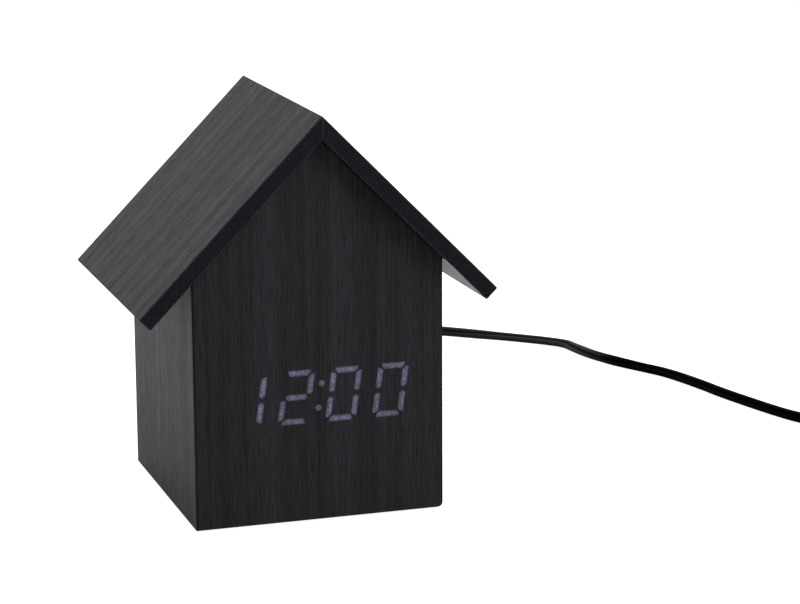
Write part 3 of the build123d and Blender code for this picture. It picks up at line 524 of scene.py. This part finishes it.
def lit_strokes():
    """The lit strokes as one piece, whose vertices carry the core value."""
    node = nodes["lit_segments"]
    mesh = node.data.copy()
    mesh.name = "lit_strokes"
    mesh.materials.clear()
    build = bmesh.new()
    build.from_mesh(mesh)
    bmesh.ops.remove_doubles(build, verts=build.verts, dist=WELD_DISTANCE)
    bmesh.ops.dissolve_limit(
        build, angle_limit=radians(FLAT_ANGLE), verts=build.verts, edges=build.edges
    )
    fronts = [face for face in build.faces if -face.normal.y > FRONT_FACING]
    bmesh.ops.inset_individual(build, faces=fronts, thickness=RIM_WIDTH, use_even_offset=True)
    core = build.verts.layers.float.new("core")
    for face in fronts:
        for vertex in face.verts:
            vertex[core] = RIM_END_CORE
    for vertex in bmesh.ops.poke(build, faces=fronts)["verts"]:
        vertex[core] = 1.0
    for face in build.faces:
        face.smooth = False
    build.to_mesh(mesh)
    build.free()
    piece = mesh_piece("lit_strokes", mesh, "clock")
    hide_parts("lit_segments")
    return piece


def lit_through_grain():
    """A soft violet light that the foil's grain breaks up."""
    material, tree, surface = new_material(
        "lit_strokes", Base_Color=UNLIT_COLOUR, Roughness=0.45, Specular_IOR_Level=0.15
    )
    streaks, pores = grain(tree)
    weave = spread(tree, noise(tree, WEAVE_CELLS, 1.0), *HARD_RANGE, *WEAVE_LIGHT)
    through_streaks = spread(tree, streaks, *SOFT_RANGE, *STREAK_LIGHT)
    tone = combine(tree, "MULTIPLY", through_streaks, weave)
    core = spread(tree, vertex_value(tree, "core"), 0, 1, *CORE_LIGHT)
    glow = blend(tree, combine(tree, "MULTIPLY", tone, core), *GLOW_COLOURS)
    tree.links.new(glow, surface.inputs["Emission Color"])
    tree.links.new(spread(tree, pores, 0, 1, *PORE_LIGHT), surface.inputs["Emission Strength"])
    return material


def dress(material, *names):
    """Gives CAD nodes a material."""
    for name in names:
        nodes[name].data.materials.clear()
        nodes[name].data.materials.append(material)


def ease_edges(width, sharp_angle, *names):
    """Rounds the edges of CAD nodes that are sharper than an angle."""
    for name in names:
        weld = nodes[name].modifiers.new("weld", "WELD")
        weld.merge_threshold = WELD_DISTANCE
        bevel = nodes[name].modifiers.new("bevel", "BEVEL")
        bevel.width = width
        bevel.segments = 2
        bevel.limit_method = "ANGLE"
        bevel.angle_limit = radians(sharp_angle)
        bevel.harden_normals = True


# The house and its digits
dress(wood_grain("wall_grain", tone=0.026, gloss=0.36), "front_panel", "back_panel", "bottom_panel")
dress(
    wood_grain("side_grain", tone=0.026, gloss=0.28, shorter=3),
    "left_side_panel", "right_side_panel",
)
veneer_half_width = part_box("front_veneer")[1][0]
dress(
    wood_grain("veneer_grain", tone=0.0245, gloss=0.08, half_width=veneer_half_width),
    "front_veneer",
)
# The mitre line is painted shade on the left board and a painted highlight on the right one
for side, turn, mitre_light_level in (("left", -45, 0.002), ("right", 45, 0.06)):
    roof_grain = wood_grain(
        f"{side}_roof_grain", tone=0.039, gloss=0.074, contrast=0.35, turn=turn, shorter=10,
        mitre_light_colour=grey(mitre_light_level),
    )
    dress(roof_grain, f"{side}_roof_board")
ROOF_ROUNDING = 0.0003
SHARP_ANGLE = 40
ease_edges(ROOF_ROUNDING, SHARP_ANGLE, "left_roof_board", "right_roof_board")
lit_strokes().data.materials.append(lit_through_grain())

# Plastics, metals and coatings. Each has two near colours, its roughness, the size and the depth
# of its texture, what else is the same all over, and the nodes that it dresses
METAL = {"Metallic": 1.0}
surfaces = {
    "black_plastic": (
        grey(0.018), grey(0.024), 0.5, 0.0004, 0.00004, {},
        ("service_panel", "battery_cover", "display_reflector", "buzzer", "power_socket"),
    ),
    "button_plastic": (
        grey(0.03), grey(0.036), 0.38, 0.0005, 0.00002, {},
        ("set_button", "up_button", "down_button", "set_plunger", "up_plunger", "down_plunger",
         "tact_switches"),
    ),
    "smoked_resin": (grey(0.05), grey(0.06), 0.3, 0.0006, 0.00002, {}, ("unlit_segments",)),
    "foot_rubber": (grey(0.02), grey(0.028), 0.75, 0.0003, 0.00005, {}, ("rubber_feet",)),
    "solder_mask": (
        (0.01, 0.09, 0.035, 1), (0.015, 0.12, 0.045, 1), 0.35, 0.0008, 0.00003, {},
        ("display_board", "control_board"),
    ),
    "led_resin": (
        (0.8, 0.78, 0.6, 1), (0.9, 0.88, 0.72, 1), 0.25, 0.0004, 0.00002, {}, ("display_leds",),
    ),
    "chip_epoxy": (
        grey(0.02), grey(0.03), 0.6, 0.0002, 0.00003, {}, ("driver_chip", "control_chip"),
    ),
    "zinc_steel": (
        grey(0.5), grey(0.62, (1, 0.99, 0.96)), 0.32, 0.0006, 0.00002, METAL,
        ("display_screws", "panel_screws", "control_screws"),
    ),
    "nickel": (
        grey(0.62, (1, 0.98, 0.93)), grey(0.72, (1, 0.98, 0.94)), 0.2, 0.0012, 0.00001, METAL,
        ("spring_contacts", "flat_contacts", "socket_pin", "dc_plug_barrel", "usb_shell"),
    ),
    "drawn_can": (
        grey(0.6), grey(0.7), 0.28, 0.0008, 0.00002, METAL,
        ("capacitors", "clock_crystal", "microphone"),
    ),
    "nylon": (
        (0.75, 0.72, 0.62, 1), (0.82, 0.79, 0.7, 1), 0.45, 0.0006, 0.00003, {},
        ("display_connector", "control_connector", "usb_tongue"),
    ),
    "grey_vinyl": (grey(0.35), grey(0.42), 0.5, 0.001, 0.00003, {}, ("ribbon_cable",)),
    "red_vinyl": (
        (0.4, 0.02, 0.015, 1), (0.5, 0.03, 0.02, 1), 0.4, 0.001, 0.00003, {}, ("battery_leads",),
    ),
    "black_vinyl": (grey(0.015), grey(0.022), 0.4, 0.001, 0.00003, {}, ("socket_leads",)),
    "cell_film": (
        (0.05, 0.08, 0.12, 1), (0.06, 0.1, 0.15, 1), 0.3, 0.001, 0.00002, {"Metallic": 0.3},
        ("aaa_cell_1", "aaa_cell_2", "aaa_cell_3"),
    ),
    "cord_vinyl": (
        grey(0.0015), grey(0.002), 0.35, 0.0015, 0.00004, {"Specular_IOR_Level": 0.12},
        ("dc_plug_housing", "plug_relief", "usb_housing"),
    ),
}
for name, (colour, second, roughness, size, relief, uniform, dressed) in surfaces.items():
    dress(speckled(name, colour, second, roughness, size, relief, **uniform), *dressed)

# The cord's sheath and its strap. From each X of the list on, the cord has the sheen beside it
# The steps stand in for light, as the real cord's gloss is even: they paint a stronger reflection
# near the clock, a darker cord further on, and more sheen on the coil so that its turns show
SHEENS = (
    (-1.0, 0.2), (0.1835, 0.14), (0.1855, 0.09), (0.1875, 0.04), (0.1895, 0.012), (0.231, 0.05),
    (0.238, 0.12),
)
for number, (_, sheen) in enumerate(SHEENS):
    power_cord.data.materials.append(sheath(f"cord_sheath_{number}", sheen))
for face in power_cord.data.polygons:
    face.material_index = sum(face.center.x > start for start, _ in SHEENS) - 1
strap.data.materials.append(
    speckled("strap_weave", grey(0.02), grey(0.035), roughness=0.85, size=0.0003, relief=0.00008)
)

# Floor, surroundings and light. The background is lit up only where it is seen, the floor less in
# reflections, so that the walls keep a darker foot. The light on the object comes from the lamps,
# the floor's paint, and surroundings that cast less from the front than from behind
FLOOR_GREYS = (grey(0.68), grey(0.7))
FLOOR_CLOUD_CELLS = (6, 6, 6)
FLOOR_LIFT = 0.92
REFLECTED_FLOOR_LIFT = 0.12
CAST_STRENGTHS = (0.07, 0.64)
CAST_COLOUR = (1.0, 0.96, 1.01, 1)
LAMP_AIM = (0, 0, 0.07)


def background_seen(tree, direct, reflected):
    """How strongly the background shows: directly or through glass, in a reflection, or else 0."""
    path = put(tree, "ShaderNodeLightPath").outputs
    through = combine(tree, "MAXIMUM", path["Is Camera Ray"], path["Is Transmission Ray"])
    return combine(
        tree, "MAXIMUM", combine(tree, "MULTIPLY", through, direct),
        combine(tree, "MULTIPLY", path["Is Glossy Ray"], reflected),
    )


def white_floor():
    """Pale matt paint, lifted to white where it is seen, so that the object's shadow stays."""
    material = bpy.data.materials.new("floor_white")
    material.use_nodes = True
    tree = material.node_tree
    tree.nodes.clear()
    colour = blend(tree, noise(tree, FLOOR_CLOUD_CELLS), *FLOOR_GREYS)
    paint = put(tree, "ShaderNodeBsdfDiffuse", {"Color": colour})
    strength = background_seen(tree, FLOOR_LIFT, REFLECTED_FLOOR_LIFT)
    lift = put(tree, "ShaderNodeEmission", {"Color": grey(1.0), "Strength": strength})
    both = put(tree, "ShaderNodeAddShader", {0: paint.outputs[0], 1: lift.outputs[0]})
    put(tree, "ShaderNodeOutputMaterial", {"Surface": both.outputs[0]})
    return material


def make_floor(size):
    build = bmesh.new()
    bmesh.ops.create_grid(build, x_segments=8, y_segments=8, size=size)
    floor = bpy.data.objects.new("floor", finished_mesh("floor", build))
    floor.data.materials.append(white_floor())
    scene.collection.objects.link(floor)


def make_world():
    """Surroundings that are white where they are seen and cast a softer light on the object."""
    world = bpy.data.worlds.new("studio")
    world.use_nodes = True
    scene.world = world
    tree = world.node_tree
    tree.nodes.clear()
    direction = along_axes(tree, put(tree, "ShaderNodeTexCoord").outputs["Generated"])
    cast = spread(tree, direction["Y"], -1, 1, *CAST_STRENGTHS)
    seen = background_seen(tree, 1.0, 1.0)
    # Inputs 2 and 3 of this node are the two numbers that it mixes
    strength = put(tree, "ShaderNodeMix", {"Factor": seen, 2: cast, 3: 1.0}).outputs[0]
    colour = blend(tree, seen, CAST_COLOUR, grey(1.0))
    background = put(tree, "ShaderNodeBackground", {"Color": colour, "Strength": strength})
    put(tree, "ShaderNodeOutputWorld", {"Surface": background.outputs[0]})


def softbox(name, place, aim, size, power):
    """A rectangular lamp that faces a point, with its power in watts."""
    light = bpy.data.lights.new(name, "AREA")
    light.shape = "RECTANGLE"
    light.size, light.size_y = size
    light.energy = power
    lamp = bpy.data.objects.new(name, light)
    lamp.location = place
    lamp.rotation_euler = (Vector(place) - Vector(aim)).to_track_quat("Z", "Y").to_euler()
    scene.collection.objects.link(lamp)


make_floor(size=3.0)
make_world()
softbox("right_softbox", place=(0.9, -0.9, 1.1), aim=LAMP_AIM, size=(1.2, 1.2), power=18)
softbox("top_softbox", place=(0.1, 0.5, 1.4), aim=LAMP_AIM, size=(1.4, 1.0), power=5)
scene.view_settings.view_transform = "Standard"
